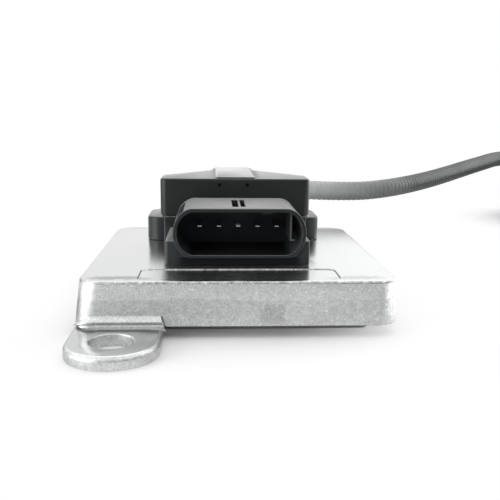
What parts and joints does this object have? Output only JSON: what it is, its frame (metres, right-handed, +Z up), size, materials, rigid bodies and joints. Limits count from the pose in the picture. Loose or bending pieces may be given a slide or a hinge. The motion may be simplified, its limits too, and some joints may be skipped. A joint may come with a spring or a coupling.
{
  "type": "nitrogen oxide sensor",
  "caption": "Flat cast metal control unit with diagonal mounting ears, a black multi-pin plug socket, and a sheathed cable coiled beside it that ends in a threaded exhaust probe.",
  "frame": {"origin": "centre of the control unit's footprint, on the plane of the mounting ears' undersides, which the pressed cover also rests on", "axes": "+X to the right and +Y from the plug socket towards the cable hood, as the socket is seen from its front; +Z up, out of the housing's roof"},
  "size_m": [0.2735, 0.2328, 0.0323],
  "materials": {
    "cast_aluminium": "blasted casting, satin, with a rolled bright edge",
    "sheet_aluminium": "pressed sheet, satin",
    "black_moulding": "fine-grained glass-filled moulding",
    "seal_rubber": "matt rubber",
    "tinned_copper": "bright tin plate",
    "board_green": "satin solder resist",
    "chip_black": "matt mould compound",
    "cable_sheath": "ribbed dark grey sleeve",
    "stainless": "turned and drawn stainless steel",
    "white_ceramic": "unglazed fired ceramic"
  },
  "bodies": {
    "sensor": {"housing_shell": "cast_aluminium", "bottom_plate": "sheet_aluminium", "bottom_seal": "seal_rubber", "connector_body": "black_moulding", "header_gasket": "seal_rubber", "terminal_1": "tinned_copper", "terminal_2": "tinned_copper", "terminal_3": "tinned_copper", "terminal_4": "tinned_copper", "terminal_5": "tinned_copper", "cable_hood": "black_moulding", "cable_grommet": "seal_rubber", "circuit_board": "board_green", "board_screw_1": "stainless", "board_screw_2": "stainless", "board_screw_3": "stainless", "board_screw_4": "stainless", "microcontroller": "chip_black", "heater_driver": "chip_black", "voltage_regulator": "chip_black", "storage_capacitor_1": "sheet_aluminium", "storage_capacitor_2": "sheet_aluminium", "choke_ring": "chip_black", "quartz_crystal": "stainless", "sensor_lead_1": "cable_sheath", "sensor_lead_2": "cable_sheath", "sensor_lead_3": "cable_sheath", "sensor_lead_4": "cable_sheath", "sensor_lead_5": "cable_sheath", "sensor_lead_6": "cable_sheath", "cable_run": "cable_sheath", "cable_coil": "cable_sheath", "cable_tail": "cable_sheath", "coil_tie_1": "black_moulding", "coil_tie_2": "black_moulding", "probe_seal": "seal_rubber", "probe_sleeve": "stainless", "probe_body": "stainless", "outer_guard_tube": "stainless", "inner_guard_tube": "stainless", "rear_ceramic_bush": "white_ceramic", "middle_ceramic_bush": "white_ceramic", "powder_seal": "white_ceramic", "front_ceramic_bush": "white_ceramic", "ceramic_element": "white_ceramic"},
    "screw": {"union_screw": "stainless"}
  },
  "joints": [
    {"name": "screw_spin", "type": "hinge", "parent": "sensor", "child": "screw", "pos_m": [0.224, 0.026, 0.011], "axis": [0, -1, 0], "continuous": true}
  ]
}
